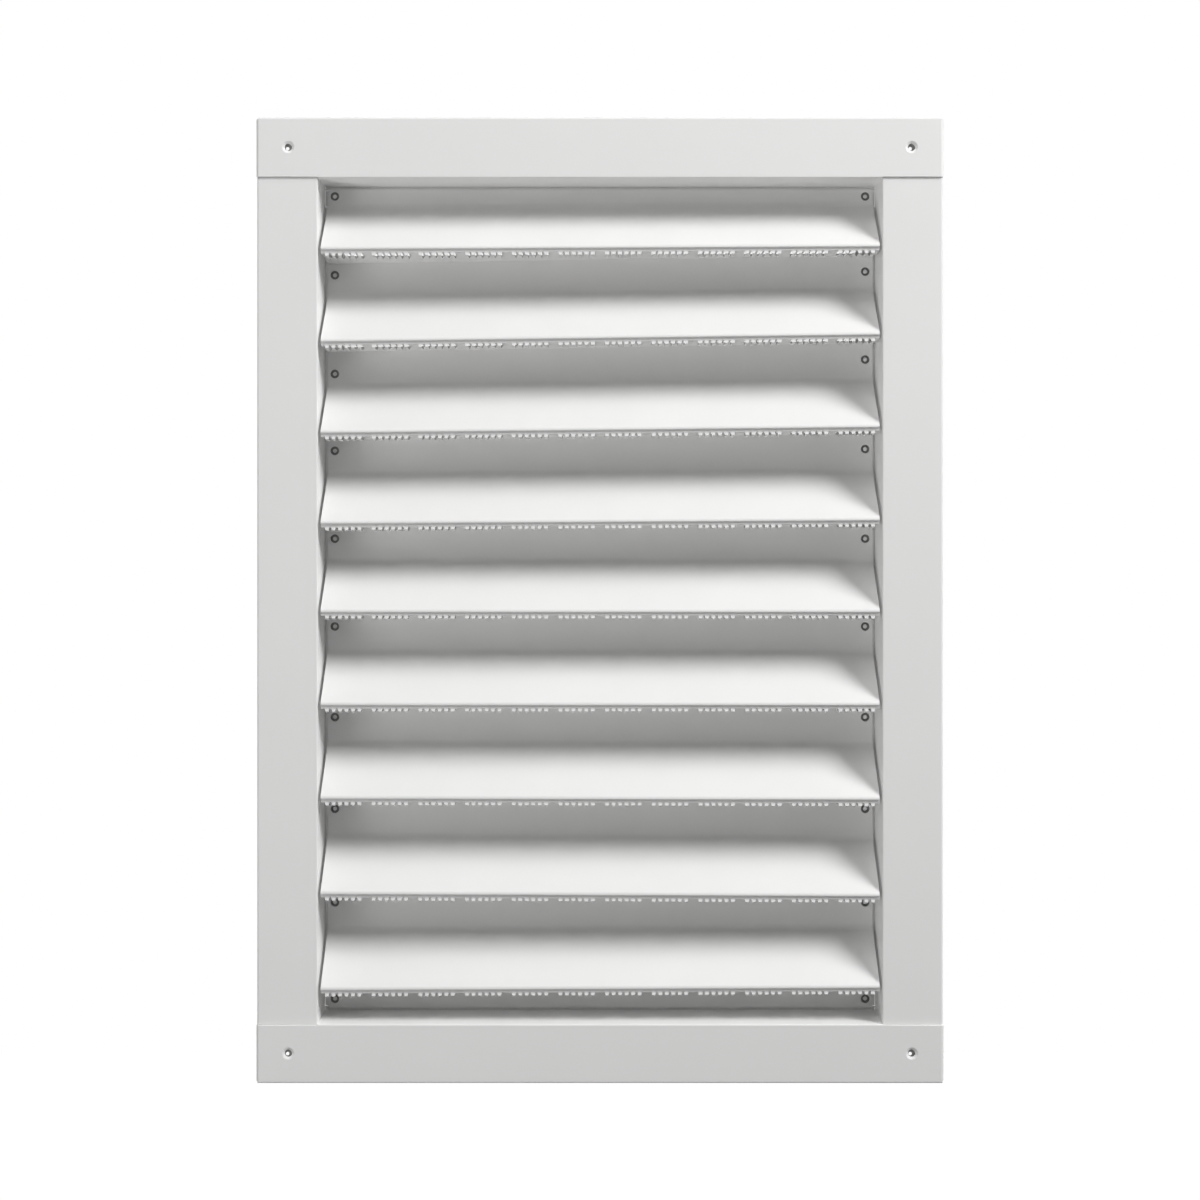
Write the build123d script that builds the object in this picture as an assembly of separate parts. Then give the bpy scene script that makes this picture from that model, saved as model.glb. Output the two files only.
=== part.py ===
from build123d import *
from math import cos, radians, sin, tan
import os

# Wall louver: a frame of four hemmed strips round one sheet that is lanced and folded into louvers.
# Millimetres, +Z up, the front faces -Y. The origin is the middle of the screw pattern, on the back
# of the side flanges.

# Opening and frame
OPENING_WIDTH = 304.8
OPENING_HEIGHT = 457.2
FLANGE_WIDTH = 31.75
FRAME_SHEET = 0.6
FRAME_BEND = 0.9
HEM_WIDTH = 8.0
HEM_GAP = 0.4
LIP_WIDTH = 11.0
JAMB_OVERRUN = 3.0
CORNER_GAP = 0.2
HEM_CLEARANCE = 0.5

# Corner screw holes
SCREW_INSET = 16.15
SCREW_HOLE_RADIUS = 1.9
SCREW_CUT_LENGTH = 10.0

# Louver sheet
PANEL_SHEET = 0.5
PANEL_SIDE_GAP = 1.5
PANEL_END_GAP = 0.8
LOUVER_COUNT = 9
LOUVER_DEPTH = 25.4
LOUVER_ANGLE = 45.0
FIRST_NOSE_DROP = 38.4
LAST_NOSE_RISE = 18.8
MIDDLE_RISE = 3.0
NOSE_BEND = 1.5
VALLEY_BEND = 6.0
RETURN_ANGLE = 6.0

# Vent slots in the return strips, one for each pair of lanced bridges
GROUP_PITCH = 25.2
SLOTS_IN_GROUP = 3
SLOT_PITCH = 7.0
SLOT_WIDTH = 3.5
SLOT_LENGTH = 12.0
SLOT_SETBACK = 3.5
SLOT_END_MARGIN = 2.5
SLOT_CUT_HEIGHT = 6.0
CUT_OVERRUN = 1.0

# Pressed joints that hold the sheet to the frame, three on the left lower than their fellows
JOINT_INSET = 6.1
JOINT_SIDES = 8
JOINT_RADIUS = 2.3
JOINT_DEPTH = 0.3
BUTTON_RADIUS = 2.8
BUTTON_HEIGHT = 0.6
END_JOINT_INSET = 6.5
JOINT_DROP = 10.2
LEFT_STRAYS = {1: 2.0, 2: 8.0, 3: 1.0}

# Places worked out from the sizes above, measured back from the side flanges' back faces
JAMB_FRONT = -FRAME_SHEET
RAIL_FRONT = JAMB_FRONT - FRAME_SHEET
NOSE_FRONT = JAMB_FRONT
FLAT_FRONT = NOSE_FRONT + LOUVER_DEPTH
LIP_FRONT = FLAT_FRONT + PANEL_SHEET
HALF_WIDTH = OPENING_WIDTH / 2
HALF_HEIGHT = OPENING_HEIGHT / 2
OVERALL_WIDTH = OPENING_WIDTH + 2 * FLANGE_WIDTH
OVERALL_HEIGHT = OPENING_HEIGHT + 2 * FLANGE_WIDTH
PANEL_WIDTH = OPENING_WIDTH - 2 * PANEL_SIDE_GAP
PANEL_TOP = HALF_HEIGHT - PANEL_END_GAP
NOSE_SPAN = OPENING_HEIGHT - FIRST_NOSE_DROP - LAST_NOSE_RISE
JOINT_X = HALF_WIDTH - JOINT_INSET


def nose_height(index):
    """Height of a louver's nose: even spacing, with the middle ones a little higher."""
    share = index / (LOUVER_COUNT - 1)
    return HALF_HEIGHT - FIRST_NOSE_DROP - NOSE_SPAN * share + 4 * MIDDLE_RISE * share * (1 - share)


def bent_sheet(corners, bends, thickness):
    """Section of a bent sheet. Its visible face runs through the corners, and the sheet is to its left.

    Each corner has the inside radius of its bend, or 0 for a fold that is pressed sharp.
    """
    face = [Vector(*corner) for corner in corners]
    runs = [(after - before).normalized() for before, after in zip(face, face[1:])]
    lefts = [Vector(-run.Y, run.X) for run in runs]
    back = [face[0] + lefts[0] * thickness]
    for corner, before, after in zip(face[1:], lefts, lefts[1:]):
        back.append(corner + (before + after) * (thickness / (1 + before.dot(after))))
    back.append(face[-1] + lefts[-1] * thickness)
    turns_left = [before.cross(after).Z > 0 for before, after in zip(runs, runs[1:])]
    outer_radii = [bend + thickness if bend else 0 for bend in bends]
    face_radii = [outer if left else bend for bend, outer, left in zip(bends, outer_radii, turns_left)]
    back_radii = [bend if left else outer for bend, outer, left in zip(bends, outer_radii, turns_left)]
    outline = FilletPolyline(face, radius=face_radii).edges()
    outline += FilletPolyline(back, radius=back_radii).edges()
    outline += [Line(face[0], back[0]).edge(), Line(face[-1], back[-1]).edge()]
    return make_face(outline)


def frame_strip(half_opening, front, flange_length, wall_length, lip_length):
    """A frame strip as it lies along the top: hem, flange, wall into the opening and rear lip."""
    hem_back = front + 2 * FRAME_SHEET + HEM_GAP
    section = bent_sheet(
        [
            (hem_back, FLANGE_WIDTH - HEM_WIDTH),
            (hem_back, FLANGE_WIDTH),
            (front, FLANGE_WIDTH),
            (front, 0),
            (LIP_FRONT, 0),
            (LIP_FRONT, -LIP_WIDTH),
        ],
        [0, 0, FRAME_BEND, 0],
        FRAME_SHEET,
    )
    strip = extrude(Plane.YZ * Pos(0, half_opening) * section, flange_length / 2, both=True)
    bend_top = half_opening + FRAME_BEND + FRAME_SHEET
    strip -= end_cuts(wall_length, flange_length, front - CUT_OVERRUN, bend_top)
    strip -= end_cuts(lip_length, flange_length, LIP_FRONT, bend_top)
    return strip


def end_cuts(kept_length, full_length, front, top):
    """Blocks that take a strip's wall or lip away beyond its kept length, at both ends."""
    length = (full_length - kept_length) / 2 + CUT_OVERRUN
    depth = LIP_FRONT + FRAME_SHEET + CUT_OVERRUN - front
    height = LIP_WIDTH + FRAME_SHEET + FRAME_BEND + CUT_OVERRUN
    block = Box(length, depth, height, align=(Align.MIN, Align.MIN, Align.MAX))
    right = Pos(kept_length / 2, front, top) * block
    return [right, mirror(right, Plane.YZ)]


def screw_holes(spacing, half_opening):
    """The two screw holes of a strip, right through its flange."""
    height = half_opening + FLANGE_WIDTH - SCREW_INSET
    hole = Rot(90, 0, 0) * Cylinder(SCREW_HOLE_RADIUS, SCREW_CUT_LENGTH)
    return [Pos(side * spacing / 2, 0, height) * hole for side in (-1, 1)]


def joint_prisms(places, radius, front, depth):
    """Prisms at the pressed joints' places (x, z), from a front plane back to a depth."""
    outline = Plane.XZ.offset(-front) * RegularPolygon(radius, JOINT_SIDES)
    prism = extrude(outline, -depth)
    return [Pos(x, 0, z) * prism for x, z in places]


def joint_heights(strays):
    """Heights of the pressed joints of one side, from the top rail's down to the bottom rail's."""
    below_noses = [
        nose_height(index) - JOINT_DROP - strays.get(index + 1, 0.0) for index in range(LOUVER_COUNT - 1)
    ]
    return [HALF_HEIGHT - END_JOINT_INSET] + below_noses + [END_JOINT_INSET - HALF_HEIGHT]


def louver_section():
    """Section of the louver sheet: flats at the back, sloping louvers, round noses and return strips."""
    slope_up = Vector(-sin(radians(LOUVER_ANGLE)), cos(radians(LOUVER_ANGLE)))
    strip_down = Vector(-sin(radians(RETURN_ANGLE)), -cos(radians(RETURN_ANGLE)))
    nose_radius = NOSE_BEND + PANEL_SHEET
    corners = [(FLAT_FRONT, PANEL_TOP)]
    for index in range(LOUVER_COUNT):
        middle = Vector(NOSE_FRONT + nose_radius, nose_height(index))
        slope = middle + slope_up * nose_radius
        strip = middle + strip_down * nose_radius
        nose = middle + (slope_up + strip_down) * (nose_radius / (1 + slope_up.dot(strip_down)))
        valley_height = slope.Y + (FLAT_FRONT - slope.X) * tan(radians(LOUVER_ANGLE))
        return_height = strip.Y - (FLAT_FRONT - strip.X) * tan(radians(RETURN_ANGLE))
        corners += [(FLAT_FRONT, valley_height), (nose.X, nose.Y), (FLAT_FRONT, return_height)]
    corners.append((FLAT_FRONT, -PANEL_TOP))
    return bent_sheet(corners, [VALLEY_BEND, NOSE_BEND, 0] * LOUVER_COUNT, PANEL_SHEET)


def vent_slots():
    """Slots through every return strip, in groups that are centred on the sheet's width."""
    group_width = (SLOTS_IN_GROUP - 1) * SLOT_PITCH + SLOT_WIDTH
    groups = int((PANEL_WIDTH - 2 * SLOT_END_MARGIN - group_width) / GROUP_PITCH) + 1
    slot = Box(SLOT_WIDTH, SLOT_LENGTH, SLOT_CUT_HEIGHT, align=(Align.CENTER, Align.MIN, Align.MAX))
    slots = []
    for index in range(LOUVER_COUNT):
        row = Pos(0, NOSE_FRONT + SLOT_SETBACK, nose_height(index)) * slot
        for group_place in GridLocations(GROUP_PITCH, 0, groups, 1):
            for slot_place in GridLocations(SLOT_PITCH, 0, SLOTS_IN_GROUP, 1):
                slots.append(group_place * slot_place * row)
    return slots


SCREWS_ACROSS = OVERALL_WIDTH - 2 * SCREW_INSET
SCREWS_UP = OVERALL_HEIGHT - 2 * SCREW_INSET
LEFT_JOINTS = [(-JOINT_X, height) for height in joint_heights(LEFT_STRAYS)]
RIGHT_JOINTS = [(JOINT_X, height) for height in joint_heights({})]


def joint_buttons(places):
    """What the pressed joints raise on the back of the frame's lips."""
    return joint_prisms(places, BUTTON_RADIUS, LIP_FRONT + FRAME_SHEET, BUTTON_HEIGHT)


# Rails, which run the full width in front of the jambs' flanges
between_jambs = OPENING_WIDTH - 2 * CORNER_GAP
rail = frame_strip(HALF_HEIGHT, RAIL_FRONT, OVERALL_WIDTH, between_jambs, between_jambs)
rail -= screw_holes(SCREWS_ACROSS, HALF_HEIGHT)
top_rail = rail + joint_buttons([LEFT_JOINTS[0], RIGHT_JOINTS[0]])
bottom_rail = Rot(0, 180, 0) * rail + joint_buttons([LEFT_JOINTS[-1], RIGHT_JOINTS[-1]])

# Jambs, whose flanges stop short of the rails' hems and whose lips stop short of the rails' lips
jamb_length = OVERALL_HEIGHT - 2 * (HEM_WIDTH + HEM_CLEARANCE)
jamb_wall_length = OPENING_HEIGHT + 2 * (FRAME_SHEET + JAMB_OVERRUN)
jamb_lip_length = OPENING_HEIGHT - 2 * (LIP_WIDTH + CORNER_GAP)
jamb = frame_strip(HALF_WIDTH, JAMB_FRONT, jamb_length, jamb_wall_length, jamb_lip_length)
jamb -= screw_holes(SCREWS_UP, HALF_WIDTH)
left_jamb = Rot(0, -90, 0) * jamb + joint_buttons(LEFT_JOINTS[1:-1])
right_jamb = Rot(0, 90, 0) * jamb + joint_buttons(RIGHT_JOINTS[1:-1])

# Louver sheet, folded from one piece
louver_panel = extrude(Plane.YZ * louver_section(), PANEL_WIDTH / 2, both=True)
louver_panel -= joint_prisms(LEFT_JOINTS + RIGHT_JOINTS, JOINT_RADIUS, FLAT_FRONT, JOINT_DEPTH)
louver_panel -= vent_slots()

os.makedirs("parts", exist_ok=True)
export_step(top_rail, "parts/top_rail.step")
export_step(bottom_rail, "parts/bottom_rail.step")
export_step(left_jamb, "parts/left_jamb.step")
export_step(right_jamb, "parts/right_jamb.step")
export_step(louver_panel, "parts/louver_panel.step")
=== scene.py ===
from math import cos, pi, radians, sin, tan

import bmesh
import bpy
import numpy as np
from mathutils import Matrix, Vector


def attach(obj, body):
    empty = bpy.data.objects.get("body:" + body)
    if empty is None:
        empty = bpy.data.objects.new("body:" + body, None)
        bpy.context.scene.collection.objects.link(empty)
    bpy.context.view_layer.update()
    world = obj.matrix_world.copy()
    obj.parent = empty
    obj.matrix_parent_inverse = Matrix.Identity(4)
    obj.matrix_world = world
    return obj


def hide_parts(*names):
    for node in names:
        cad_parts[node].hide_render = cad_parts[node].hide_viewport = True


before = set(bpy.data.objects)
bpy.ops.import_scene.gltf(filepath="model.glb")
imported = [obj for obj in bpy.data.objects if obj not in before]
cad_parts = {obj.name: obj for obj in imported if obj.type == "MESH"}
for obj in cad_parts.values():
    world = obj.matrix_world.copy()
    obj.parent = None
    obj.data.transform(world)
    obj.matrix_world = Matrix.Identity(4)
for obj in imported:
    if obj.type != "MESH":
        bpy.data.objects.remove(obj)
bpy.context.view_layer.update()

# Wall louver. Sizes are in millimetres and become metres where a mesh is made. The front faces -Y, and
# the origin is the middle of the corner screws, on the back of the side flanges.
MM = 0.001

# Frame strips
HALF_WIDTH = 152.4
HALF_HEIGHT = 228.6
FLANGE_WIDTH = 31.75
TOP_EDGE = 227.7
JAMB_FLANGE = 32.6
FRAME_SHEET = 0.6
FRAME_BEND = 0.6
HEM_WIDTH = 8.0
HEM_DEPTH = 1.6
HEM_ROLL = 1.1
END_ROLL = 1.5
END_ROLL_DEPTH = 2.0
HEM_SHORT = 0.8
LIP_FOLD = 0.4
LIP_WIDTH = 11.0
GROOVE_DEPTH = 1.2
GROOVE_WIDTH = 1.2
GROOVE_END = 1.9
GROOVE_BEND = 0.2
LIP_START = 2.4
LIP_STEP = 2.1
LIP_STEP_END = 1.6
RAIL_FRONT = -1.5
JAMB_FRONT = -0.6
RAIL_LENGTHS = (185.4, 152.35, 152.35)
JAMB_LENGTHS = (251.85, 232.2, 216.5)
SCREW_INSET = 16.15
JAMB_HOLE_STRAY = 0.6

# Louver sheet
PANEL_SHEET = 0.5
PANEL_LEFT = -150.7
PANEL_RIGHT = 150.9
PANEL_TOP = 226.0
PANEL_FOOT = -226.9
LOUVER_COUNT = 9
NOSE_FRONT = -0.6
LOUVER_DEPTH = 25.4
LOUVER_ANGLE = radians(45)
FIRST_NOSE = 190.2
LAST_NOSE = -209.8
MIDDLE_RISE = 3.0
BROW_TOP = 0.5
BROW_RADIUS = 2.2
NOSE_RADIUS = 0.48
NOSE_UNDER = (0.9, -0.9)
LIP_FOOT = (1.05, -2.4)
STRIP_FALL = (-2.9, -3.5)
VALLEY_RADIUS = 5.5
FLAT_FRONT = NOSE_FRONT + LOUVER_DEPTH
LIP_FRONT = FLAT_FRONT + PANEL_SHEET

# Making of the sheets: steps in a bend, the distance under which points are joined, and the angle that
# makes an edge sharp
BEND_STEPS = 6
FOLD_STEPS = 4
NOSE_STEPS = 8
ROLL_PLACES = 6
WELD_DISTANCE = 0.002
SHARP_ANGLE = radians(32)

# How far each louver stands from its even place, how far its right end stands above its left end, as the
# folding press left them, and how much more its rear fold does
LOUVER_STRAYS = np.array([0.5, 0.5, 0.0, -0.2, 1.0, 1.0, 0.8, 0.0, 0.7])
LOUVER_LEANS = np.array([1.5, 3.8, 3.1, 1.8, 0.0, 0.0, -0.6, -1.2, 1.2])
FOLD_LEANS = np.array([3.2, 1.3, 0.0, 0.0, 0.0, 0.0, 0.0, 0.0, 0.0])

# Lanced bridges in the return strips: distances back from the lip, and drops under the strip
BRIDGE_GROUPS = 12
GROUP_PITCH = 25.2
BRIDGES_IN_GROUP = 6
BRIDGE_PITCH = 3.5
BRIDGE_WIDTH = 2.3
BRIDGE_TAPER = 0.45
LAND_RUN = np.array([0.0, 0.3, 0.9, 1.6, 8.6, 10.2, 11.8])
BRIDGE_RUN = np.array([0.0, -0.3, -0.45, 0.4, 8.6, 10.2, 11.8])
BRIDGE_SHARE = np.array([0.0, 0.2, 0.65, 1.0, 1.0, 0.7, 0.0])
BRIDGE_DEPTH = 1.8

# Pressed rounds: radii from the rim inwards, and depths under the face round them
ROUND_SIDES = 24
CUP_RADII = (2.4, 2.3, 2.25, 2.15, 1.25, 1.15)
CUP_DEPTHS = (0.0, 0.1, 1.6, 1.8, 1.75, 0.65)
FLOOR_RADII = (1.15, 1.05, 0.7)
FLOOR_DEPTHS = (0.65, 0.5, 0.5)
BUTTON_RADII = (3.0, 2.9, 2.85, 2.75, 1.3)
BUTTON_DEPTHS = (0.0, 0.1, 1.7, 1.85, 1.85)
DIMPLE_RADII = (3.4, 3.2, 2.2, 2.0, 1.95)
DIMPLE_DEPTHS = (0.0, 0.06, 0.6, 0.72, 0.9)
PILOT_RADII = (2.6, 2.5, 2.35, 1.0, 0.95)
PILOT_DEPTHS = (0.0, 0.08, 0.9, 0.95, 1.0)
JOINT_X = HALF_WIDTH - 5.6
END_JOINT = HALF_HEIGHT - 6.5
JOINT_DROP = 10.2
LEFT_STRAYS = np.array([2.0, 8.0, 1.0, 0.0, 0.0, 0.0, 0.0, 0.0])


def linear(hex_colour):
    """Linear colour of an sRGB hex value."""
    srgb = np.array([int(hex_colour[i:i + 2], 16) for i in (1, 3, 5)]) / 255
    rgb = np.where(srgb <= 0.04045, srgb / 12.92, ((srgb + 0.055) / 1.055) ** 2.4)
    return (*rgb, 1.0)


def add_node(tree, kind, inputs=None, **settings):
    """A node with its settings. An input is a constant, or the socket of a node that it is linked to."""
    node = tree.nodes.new(kind)
    for name, value in settings.items():
        setattr(node, name, value)
    for name, value in (inputs or {}).items():
        if isinstance(value, bpy.types.NodeSocket):
            tree.links.new(value, node.inputs[name])
        else:
            node.inputs[name].default_value = value
    return node


def rounded_path(corners, radii, steps):
    """Path through corners (y, z), each rounded by an arc that turns evenly from one side to the next."""
    corners = np.array(corners, float)
    runs = np.diff(corners, axis=0)
    runs /= np.linalg.norm(runs, axis=1)[:, None]
    pieces = [corners[:1]]
    for corner, into, out, radius in zip(corners[1:], runs, runs[1:], radii):
        turn = np.arctan2(into[0] * out[1] - into[1] * out[0], into @ out)
        spoke = np.sign(turn) * radius * np.array([into[1], -into[0]])
        centre = corner - into * radius * abs(tan(turn / 2)) - spoke
        angles = np.linspace(0, turn, steps + 1)[:, None]
        pieces.append(centre + spoke * np.cos(angles) + np.array([-spoke[1], spoke[0]]) * np.sin(angles))
    pieces.append(corners[-1:])
    return np.concatenate(pieces)


def carried(path, places):
    """A path (y, z) carried along x: the grid's point i, j is the path's point i at place j."""
    grid = np.empty((len(path), len(places), 3))
    grid[..., 0] = places
    grid[..., 1:] = path[:, None]
    return grid


def grid_faces(grid):
    """Numbers of a grid's points in its rows and columns, and the four of each face."""
    rows, columns = grid.shape[:2]
    index = np.arange(rows * columns).reshape(rows, columns)
    return index, np.stack([index[:-1, :-1], index[1:, :-1], index[1:, 1:], index[:-1, 1:]], axis=-1)


def grid_patch(grid):
    """Points of a grid and its faces, without those between two columns at the same place."""
    _, faces = grid_faces(grid)
    open_columns = np.diff(grid[0, :, 0]) > 0
    return grid.reshape(-1, 3), faces[:, open_columns].reshape(-1, 4).tolist()


def plane_face(places, depth):
    """One flat face at a depth (y) through places (x, z) in order."""
    places = np.array(places)
    points = np.insert(places, 1, depth, axis=1)
    return points, [list(range(len(points)))]


def pierced_flat(below, above, rounds, radius, depth):
    """Flat area between a lower and an upper edge, listed from left to right, with round gaps in a row.

    It is a lower and an upper face that meet on the line through the gaps, each with half of every circle.
    """
    half_turn = np.linspace(0, pi, ROUND_SIDES // 2 + 1)
    circle = radius * np.stack([np.cos(half_turn), np.sin(half_turn)], axis=1)
    rounds = np.array(sorted(rounds))
    left = [[below[0][0], rounds[0, 1]]]
    right = [[below[-1][0], rounds[-1, 1]]]
    lower_halves = (rounds[::-1, None] + circle * [1, -1]).reshape(-1, 2)
    upper_halves = (rounds[:, None] + circle[::-1]).reshape(-1, 2)
    lower = np.concatenate([below, right, lower_halves, left])
    upper = np.concatenate([left, upper_halves, right, above[::-1]])
    return [plane_face(lower, depth), plane_face(upper, depth)]


def pressed_round(place, radii, depths, front, floor):
    """Round form pressed into a flat: circles, each at its own depth, the last closed by a floor."""
    angles = np.linspace(0, 2 * pi, ROUND_SIDES + 1)[:, None]
    grid = np.empty((ROUND_SIDES + 1, len(radii), 3))
    grid[..., 0] = place[0] + np.array(radii) * np.cos(angles)
    grid[..., 1] = front + np.array(depths)
    grid[..., 2] = place[1] + np.array(radii) * np.sin(angles)
    index, faces = grid_faces(grid)
    faces = faces.reshape(-1, 4).tolist()
    if floor:
        faces.append(index[:-1, -1].tolist())
    return grid.reshape(-1, 3), faces


def sheet_piece(node, coated, shade_painted_patches, thickness, turn, enamel):
    """Joins patches into one sheet, turns it about Y, and gives it its thickness behind the drawn face.

    The coated patches are enamelled, and the shade-painted ones get a dull grey sheet that paints in the
    shade of their hollows.
    """
    patches = coated + shade_painted_patches
    starts = np.cumsum([0] + [len(points) for points, _ in patches[:-1]])
    points = np.concatenate([points for points, _ in patches]) * MM
    turned = points.copy()
    turned[:, 0] = points[:, 0] * cos(turn) + points[:, 2] * sin(turn)
    turned[:, 2] = points[:, 2] * cos(turn) - points[:, 0] * sin(turn)
    faces = [[start + i for i in face] for start, (_, patch) in zip(starts, patches) for face in patch]
    drawn = bpy.data.meshes.new(node + "_drawn")
    drawn.from_pydata(turned, [], faces)
    coated_faces = sum(len(patch) for _, patch in coated)
    drawn.polygons.foreach_set("material_index", (np.arange(len(faces)) >= coated_faces).astype(np.int32))
    work = bmesh.new()
    work.from_mesh(drawn)
    bmesh.ops.remove_doubles(work, verts=work.verts, dist=WELD_DISTANCE * MM)
    work.to_mesh(drawn)
    work.free()
    drawn.materials.append(enamel)
    if shade_painted_patches:
        drawn.materials.append(groove_shade_sheet)
    piece = bpy.data.objects.new(node + "_sheet", drawn)
    bpy.context.scene.collection.objects.link(piece)
    solid = piece.modifiers.new("thickness", "SOLIDIFY")
    solid.thickness = thickness * MM
    solid.offset = -1
    folded = bpy.data.meshes.new_from_object(piece.evaluated_get(bpy.context.evaluated_depsgraph_get()))
    piece.modifiers.clear()
    piece.data = folded
    folded.shade_smooth()
    folded.set_sharp_from_angle(angle=SHARP_ANGLE)
    flats = piece.modifiers.new("flat_faces_keep_their_normals", "WEIGHTED_NORMAL")
    flats.weight = 100
    flats.keep_sharp = True
    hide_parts(node)
    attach(piece, "root")
    return piece


def frame_strip(half_opening, flange_width, front, lengths, screws, hole, joints):
    """Patches of a frame strip as it lies along the top: hem, flange, wall, groove and lip, with rounds.

    The flange's ends roll back in a quarter turn. Behind the louver sheet's edge the wall goes on into a
    groove, and the lip's ends step back to the groove's depth. The screw dimples are listed by themselves.
    """
    hole_radii, hole_depths = hole
    flange_end, wall_end, lip_end = lengths
    flat_end = flange_end - END_ROLL
    hem_end = flange_end - HEM_SHORT
    outer = half_opening + flange_width
    flat_top = outer - HEM_ROLL
    bend_top = half_opening + FRAME_BEND
    hem_back = front + HEM_DEPTH
    groove_back = LIP_FRONT + GROOVE_DEPTH
    lip_low, lip_high = half_opening - LIP_WIDTH, half_opening - LIP_START
    lip_flat = lip_end - LIP_STEP
    hem = rounded_path(
        [(hem_back, outer - HEM_WIDTH), (hem_back, outer), (front, outer), (front, flat_top)],
        [HEM_DEPTH - HEM_ROLL, HEM_ROLL],
        BEND_STEPS,
    )
    wall = rounded_path(
        [(front, bend_top), (front, half_opening), (groove_back - LIP_FOLD, half_opening)],
        [FRAME_BEND],
        BEND_STEPS,
    )
    fold = rounded_path(
        [
            (groove_back - LIP_FOLD, half_opening),
            (groove_back, half_opening),
            (groove_back, half_opening - GROOVE_WIDTH),
            (LIP_FRONT, half_opening - GROOVE_END),
            (LIP_FRONT, lip_high),
        ],
        [LIP_FOLD, GROOVE_BEND, GROOVE_BEND],
        FOLD_STEPS,
    )
    patches = [
        grid_patch(carried(hem, [-hem_end, -flat_end, flat_end, hem_end])),
        grid_patch(carried(wall, [-wall_end, -lip_end, lip_end, wall_end])),
        grid_patch(carried(fold, [-lip_end, -lip_flat, lip_flat, lip_end])),
    ]
    for side in (-1, 1):
        turn = np.linspace(min(side, 0), max(side, 0), ROLL_PLACES) * pi / 2
        roll = np.empty((2, len(turn), 3))
        roll[..., 0] = side * flat_end + END_ROLL * np.sin(turn)
        roll[..., 1] = front + END_ROLL_DEPTH * (1 - np.cos(turn))
        roll[..., 2] = [[flat_top], [bend_top]]
        step = np.empty((2, 3, 3))
        step[..., 0] = sorted([side * lip_flat, side * (lip_end - LIP_STEP_END), side * lip_end])
        step[..., 1] = [LIP_FRONT, groove_back, groove_back][::side]
        step[..., 2] = [[lip_high], [lip_low]]
        patches += [grid_patch(roll), grid_patch(step)]
    patches += pierced_flat(
        [(x, bend_top) for x in (-flat_end, -wall_end, -lip_end, lip_end, wall_end, flat_end)],
        [(x, flat_top) for x in (-flat_end, flat_end)],
        screws,
        hole_radii[0],
        front,
    )
    patches += pierced_flat(
        [(x, lip_low) for x in (-lip_flat, lip_flat)],
        [(x, lip_high) for x in (-lip_flat, lip_flat)],
        joints,
        BUTTON_RADII[0],
        LIP_FRONT,
    )
    patches += [pressed_round(place, BUTTON_RADII, BUTTON_DEPTHS, LIP_FRONT, True) for place in joints]
    return patches, [pressed_round(place, hole_radii, hole_depths, front, False) for place in screws]


share = np.linspace(0, 1, LOUVER_COUNT)
EVEN_NOSES = FIRST_NOSE + (LAST_NOSE - FIRST_NOSE) * share
NOSES = EVEN_NOSES + 4 * MIDDLE_RISE * share * (1 - share) + LOUVER_STRAYS
LEAN_SLOPES = LOUVER_LEANS / (PANEL_RIGHT - PANEL_LEFT)
FOLD_SLOPES = FOLD_LEANS / (PANEL_RIGHT - PANEL_LEFT)
ENDS = np.array([PANEL_LEFT, PANEL_RIGHT])
LEFT_JOINTS = np.concatenate([[END_JOINT], NOSES[:-1] - JOINT_DROP - LEFT_STRAYS, [-END_JOINT]])
RIGHT_JOINTS = np.concatenate([[END_JOINT], NOSES[:-1] - JOINT_DROP, [-END_JOINT]])

# Section of a louver with its nose at height 0, from the flat above it to the flat below it
BROW = np.array([NOSE_FRONT, BROW_TOP])
NOSE_CORNER = np.array([NOSE_FRONT, NOSE_UNDER[1]])
UNDER_END = np.array([NOSE_FRONT + NOSE_UNDER[0], NOSE_UNDER[1]])
LIP_END = np.array([NOSE_FRONT + LIP_FOOT[0], LIP_FOOT[1]])
FOLD = np.array([FLAT_FRONT, STRIP_FALL[1]])
VALLEY = BROW + LOUVER_DEPTH * np.array([1.0, tan(LOUVER_ANGLE)])
VALLEY_TOP = VALLEY + [0.0, VALLEY_RADIUS * tan(LOUVER_ANGLE / 2)]


def leaned(points, louver):
    """Points of a louver at its own height, with its lean: the height grows evenly from left to right."""
    points[..., 2] += NOSES[louver] + LEAN_SLOPES[louver] * points[..., 0]
    return points


def bridge_columns():
    """Places across the sheet, with 0 on the land, 1 on a bridge's left edge and -1 on its right edge.

    A lanced edge is two columns at one place, one of the land and one of the bridge.
    """
    groups = (np.arange(BRIDGE_GROUPS) - (BRIDGE_GROUPS - 1) / 2) * GROUP_PITCH
    bridges = (np.arange(BRIDGES_IN_GROUP) - (BRIDGES_IN_GROUP - 1) / 2) * BRIDGE_PITCH
    centres = (groups[:, None] + bridges).reshape(-1, 1)
    half = BRIDGE_WIDTH / 2
    places = (centres + [-half, -half, half, half]).reshape(-1)
    edges = np.tile([0, 1, -1, 0], len(centres))
    return np.concatenate([ENDS[:1], places, ENDS[1:]]), np.concatenate([[0], edges, [0]])


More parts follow.
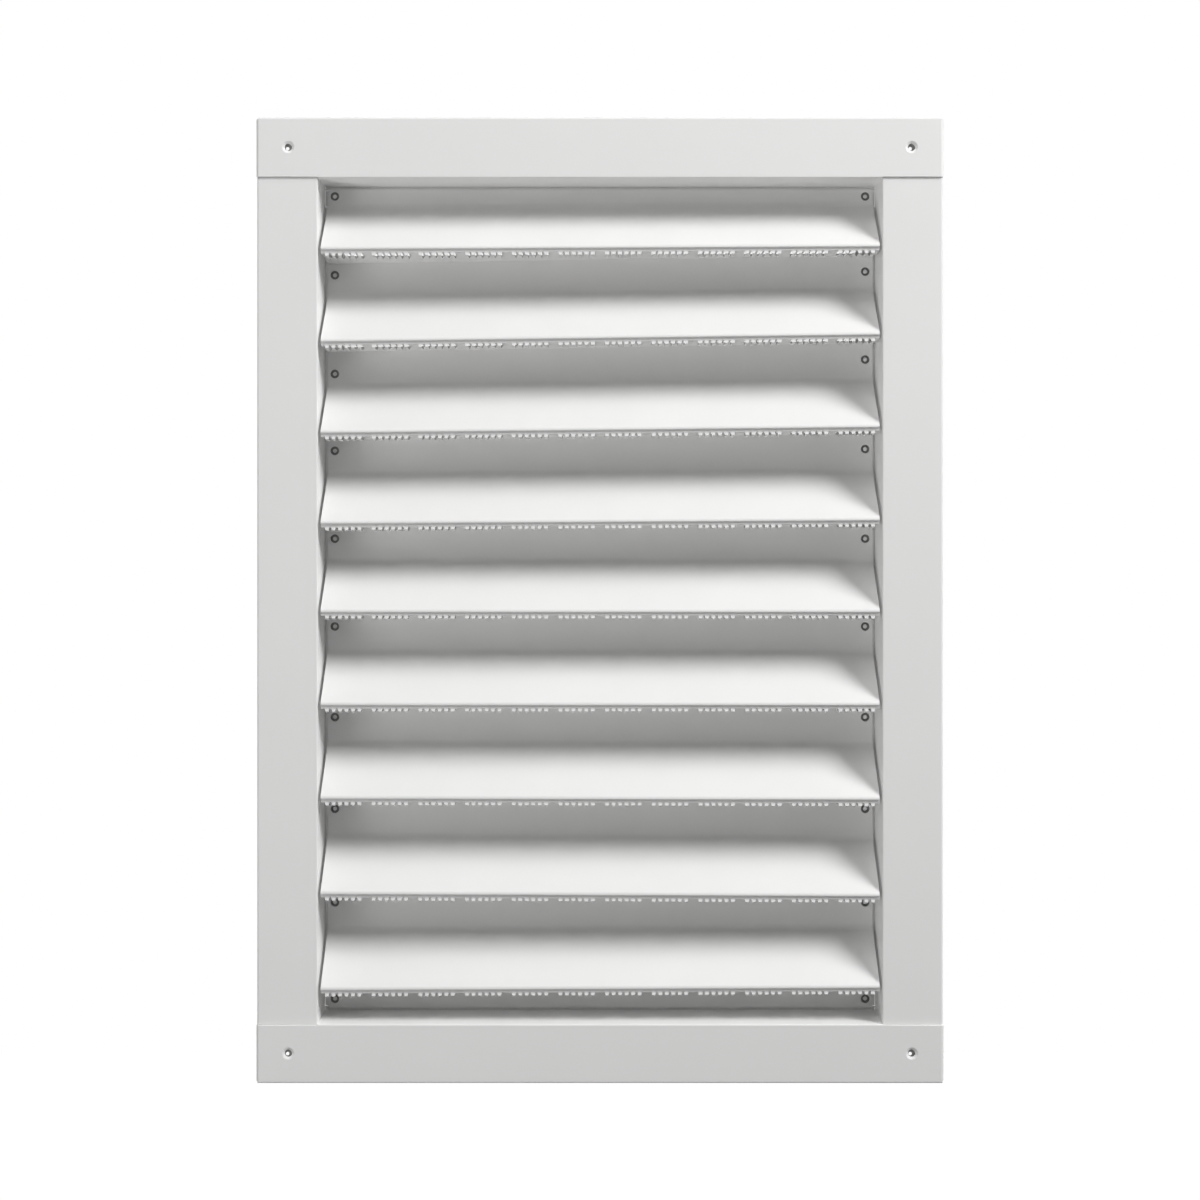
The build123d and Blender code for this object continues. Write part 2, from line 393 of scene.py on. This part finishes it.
def louver_patches(louver):
    """Valley, slope and nose as one carried section, then the lip and the return strip with its bridges.

    The land's path turns from the lip into the strip. A bridge's path bulges forward under the lip, goes
    back under the strip and up into it again, and its edges draw in as it drops.
    """
    section = rounded_path(
        [VALLEY_TOP, VALLEY, BROW, NOSE_CORNER, UNDER_END],
        [VALLEY_RADIUS, BROW_RADIUS, NOSE_RADIUS],
        NOSE_STEPS,
    )
    places, edges = bridge_columns()
    strip_backs = LIP_END[0] + np.stack([LAND_RUN, BRIDGE_RUN])
    heights = np.interp(strip_backs, [LIP_END[0] + LAND_RUN[2], FOLD[0]], STRIP_FALL)
    heights[0, :2] = LIP_END[1], (LIP_END[1] + 2 * STRIP_FALL[0]) / 3
    heights[1] -= BRIDGE_DEPTH * BRIDGE_SHARE
    heights[1, 0] = LIP_END[1]
    land, bridge = (carried(np.stack(path, axis=1), places) for path in zip(strip_backs, heights))
    strip = np.where(edges[None, :, None] == 0, land, bridge)
    strip[..., 0] += BRIDGE_TAPER * BRIDGE_SHARE[:, None] * edges
    under_row = carried(UNDER_END[None], ENDS)[0]
    fold_row = carried(FOLD[None], ENDS)[0]
    fold_row[:, 2] += FOLD_SLOPES[louver] * fold_row[:, 0]
    front_land = np.concatenate([under_row[:1], strip[0], under_row[1:]])
    rear_land = np.concatenate([fold_row, strip[-1, ::-1]])
    parts = [grid_patch(leaned(carried(section, ENDS), louver)), grid_patch(leaned(strip, louver))]
    for land in (front_land, rear_land):
        parts.append((leaned(land, louver), [list(range(len(land)))]))
    return parts


def panel_patches():
    """The whole louver sheet: nine louvers, and ten flats with a pressed joint near each end.

    The joints' ring grooves are listed by themselves, for the dull grey sheet that paints in their shade.
    """
    patches = []
    grooves = []
    for louver in range(LOUVER_COUNT):
        patches += louver_patches(louver)
    slopes = LEAN_SLOPES[:, None] * ENDS
    fold_slopes = (LEAN_SLOPES + FOLD_SLOPES)[:, None] * ENDS
    above = np.concatenate([[[PANEL_TOP] * 2], NOSES[:, None] + FOLD[1] + fold_slopes])
    below = np.concatenate([NOSES[:, None] + VALLEY_TOP[1] + slopes, [[PANEL_FOOT] * 2]])
    for top, bottom, left, right in zip(above, below, LEFT_JOINTS, RIGHT_JOINTS):
        joints = [(-JOINT_X, left), (JOINT_X, right)]
        lower_edge = np.stack([ENDS, bottom], axis=1)
        upper_edge = np.stack([ENDS, top], axis=1)
        patches += pierced_flat(lower_edge, upper_edge, joints, CUP_RADII[0], FLAT_FRONT)
        for place in joints:
            grooves.append(pressed_round(place, CUP_RADII, CUP_DEPTHS, FLAT_FRONT, False))
            patches.append(pressed_round(place, FLOOR_RADII, FLOOR_DEPTHS, FLAT_FRONT, True))
    return patches, grooves


DRIFT_SIZE = 45.0
PEEL_SIZE = 1.6
PEEL_DEPTH = 0.05


def coil_coat(name, low_tone, high_tone, low_gloss, high_gloss):
    """Polyester coat baked on aluminium coil: a smooth, faintly uneven film.

    Slow drifts of tone and gloss, and a fine peel texture that breaks up the highlights.
    """
    material = bpy.data.materials.new(name)
    material.use_nodes = True
    tree = material.node_tree
    shader = tree.nodes["Principled BSDF"]
    place = add_node(tree, "ShaderNodeTexCoord").outputs["Object"]
    drift_pattern = {"Vector": place, "Scale": 1 / (DRIFT_SIZE * MM), "Detail": 3.0}
    drift = add_node(tree, "ShaderNodeTexNoise", drift_pattern)
    tone = add_node(tree, "ShaderNodeValToRGB", {"Fac": drift.outputs["Fac"]})
    tone.color_ramp.elements[0].color = linear(low_tone)
    tone.color_ramp.elements[1].color = linear(high_tone)
    gloss_range = {"Value": drift.outputs["Fac"], "To Min": low_gloss, "To Max": high_gloss}
    gloss = add_node(tree, "ShaderNodeMapRange", gloss_range)
    peel_pattern = {"Vector": place, "Scale": 1 / (PEEL_SIZE * MM), "Detail": 2.0}
    peel = add_node(tree, "ShaderNodeTexNoise", peel_pattern)
    relief = {"Height": peel.outputs["Fac"], "Strength": 0.06, "Distance": PEEL_DEPTH * MM}
    bump = add_node(tree, "ShaderNodeBump", relief)
    tree.links.new(tone.outputs["Color"], shader.inputs["Base Color"])
    tree.links.new(gloss.outputs["Result"], shader.inputs["Roughness"])
    tree.links.new(bump.outputs["Normal"], shader.inputs["Normal"])
    shader.inputs["IOR"].default_value = 1.5
    return material


# The frame's strips and the louver sheet wear one satin white enamel in two copies: the strips' is painted
# lighter for the extra light the flanges catch, and the sheet's is painted darker for the shade in the
# louvers' recesses. A dull grey sheet paints in the shade of the joints' ring grooves and of the jamb
# holes seen through the rails.
frame_enamel_painted_lighter = coil_coat("white_enamel_painted_lighter_for_flange_light", "#F7F7F6", "#FBFBFA", 0.36, 0.46)
louver_enamel_painted_darker = coil_coat("white_enamel_baked_on_aluminium", "#ECECEB", "#F2F2F1", 0.36, 0.46)
groove_shade_sheet = coil_coat("grey_sheet_painting_groove_and_hole_shade", "#989997", "#A4A5A3", 0.5, 0.6)
screw_height = HALF_HEIGHT + FLANGE_WIDTH - SCREW_INSET
screw_across = HALF_WIDTH + FLANGE_WIDTH - SCREW_INSET
rail_screws = [(side * screw_across, screw_height) for side in (-1, 1)]
rail_joints = [(-JOINT_X, END_JOINT), (JOINT_X, END_JOINT)]
top_flange = HALF_HEIGHT + FLANGE_WIDTH - TOP_EDGE
dimple = (DIMPLE_RADII, DIMPLE_DEPTHS)
pilot = (PILOT_RADII, PILOT_DEPTHS)
top_rail, top_dimples = frame_strip(
    TOP_EDGE, top_flange, RAIL_FRONT, RAIL_LENGTHS, rail_screws, dimple, rail_joints
)
bottom_rail, bottom_dimples = frame_strip(
    HALF_HEIGHT, FLANGE_WIDTH, RAIL_FRONT, RAIL_LENGTHS, rail_screws, dimple, rail_joints
)
sheet_piece("top_rail", top_rail + top_dimples, [], FRAME_SHEET, 0.0, frame_enamel_painted_lighter)
sheet_piece("bottom_rail", bottom_rail + bottom_dimples, [], FRAME_SHEET, pi, frame_enamel_painted_lighter)
for node, heights, side in (("left_jamb", LEFT_JOINTS, -1), ("right_jamb", RIGHT_JOINTS, 1)):
    jamb_joints = [(-side * height, JOINT_X) for height in heights[1:-1]]
    stray = side * JAMB_HOLE_STRAY
    jamb_screws = [(end * screw_height + stray, screw_across - stray) for end in (-1, 1)]
    jamb = frame_strip(HALF_WIDTH, JAMB_FLANGE, JAMB_FRONT, JAMB_LENGTHS, jamb_screws, pilot, jamb_joints)
    # The jamb's pilot dimples go in as the shade-painted patches: dull grey that paints the shade in the
    # holes behind the rails.
    sheet_piece(node, *jamb, FRAME_SHEET, side * pi / 2, frame_enamel_painted_lighter)
sheet_piece("louver_panel", *panel_patches(), PANEL_SHEET, 0.0, louver_enamel_painted_darker)

# Camera: square on, level, a little above the middle, framed down onto the louver by its shift
CAMERA_DISTANCE = 0.95
CAMERA_HEIGHT = 0.054
camera_data = bpy.data.cameras.new("camera")
camera_data.sensor_width = 36
camera_data.lens = 52.9
camera_data.shift_y = -0.0833
camera = bpy.data.objects.new("camera", camera_data)
camera.location = (0, RAIL_FRONT * MM - CAMERA_DISTANCE, CAMERA_HEIGHT)
camera.rotation_euler = (pi / 2, 0, 0)
bpy.context.scene.collection.objects.link(camera)
bpy.context.scene.camera = camera

# Studio: a soft lamp high on the right, a broad soft box overhead, weak fills on the left and one behind.
# Each has its way from the louver, distance, size, watts, the height it is aimed at and its spread in
# degrees.
LAMPS = {
    "key_lamp": ((0.69, -0.41, 0.60), 2.6, 1.06, 58.0, 0.0, 180),
    "soft_box": ((-0.15, -0.45, 0.82), 3.0, 2.4, 30.0, 0.0, 180),
    "left_fill": ((-0.85, -0.50, 0.15), 3.0, 1.5, 5.5, 0.0, 180),
    "low_fill": ((-0.60, -0.60, -0.53), 1.8, 0.9, 1.15, 0.45, 60),
    "back_lamp": ((0.35, 0.90, -0.25), 3.0, 1.2, 14.0, 0.0, 180),
}
for lamp, (way, distance, size, watts, aim, spread) in LAMPS.items():
    lamp_data = bpy.data.lights.new(lamp, "AREA")
    lamp_data.shape = "DISK"
    lamp_data.size = size
    lamp_data.energy = watts
    lamp_data.spread = radians(spread)
    lamp_object = bpy.data.objects.new(lamp, lamp_data)
    lamp_object.location = Vector(way).normalized() * distance
    sight = lamp_object.location - Vector((0, 0, aim))
    lamp_object.rotation_euler = sight.to_track_quat("Z", "Y").to_euler()
    bpy.context.scene.collection.objects.link(lamp_object)


def seen_ray(tree, light, shown):
    """Socket with the level that gives light, and the level shown to the eye and in gloss or glass."""
    ray = add_node(tree, "ShaderNodeLightPath").outputs
    eye_or_gloss = {0: ray["Is Camera Ray"], 1: ray["Is Glossy Ray"]}
    seen = add_node(tree, "ShaderNodeMath", eye_or_gloss, operation="MAXIMUM").outputs[0]
    or_glass = {0: seen, 1: ray["Is Transmission Ray"]}
    seen = add_node(tree, "ShaderNodeMath", or_glass, operation="MAXIMUM").outputs[0]
    levels = {"Value": seen, "To Min": light, "To Max": shown}
    return add_node(tree, "ShaderNodeMapRange", levels).outputs["Result"]


ROOM_LIGHT = 0.03
world = bpy.data.worlds.new("pale_room")
world.use_nodes = True
room = world.node_tree
room.links.new(seen_ray(room, ROOM_LIGHT, 1.0), room.nodes["Background"].inputs["Strength"])
room.nodes["Background"].inputs["Color"].default_value = linear("#FFFFFF")
bpy.context.scene.world = world

FLOOR_HALF = 4.0
FLOOR_HEIGHT = -1.5
FLOOR_LIFT = 0.95
floor_mesh = bpy.data.meshes.new("floor")
floor_corners = np.array([(-1, -1, 0), (1, -1, 0), (1, 1, 0), (-1, 1, 0)]) * FLOOR_HALF
floor_mesh.from_pydata(floor_corners + [0, 0, FLOOR_HEIGHT], [], [(0, 1, 2, 3)])
floor = bpy.data.objects.new("floor", floor_mesh)
bpy.context.scene.collection.objects.link(floor)
paper = bpy.data.materials.new("white_paper_floor")
paper.use_nodes = True
paper_shader = paper.node_tree.nodes["Principled BSDF"]
paper_shader.inputs["Base Color"].default_value = linear("#787878")
paper_shader.inputs["Roughness"].default_value = 0.9
paper_shader.inputs["Emission Color"].default_value = linear("#FFFFFF")
paper_lift = seen_ray(paper.node_tree, 0.0, FLOOR_LIFT)
paper.node_tree.links.new(paper_lift, paper_shader.inputs["Emission Strength"])
floor_mesh.materials.append(paper)

bpy.context.scene.view_settings.view_transform = "Standard"
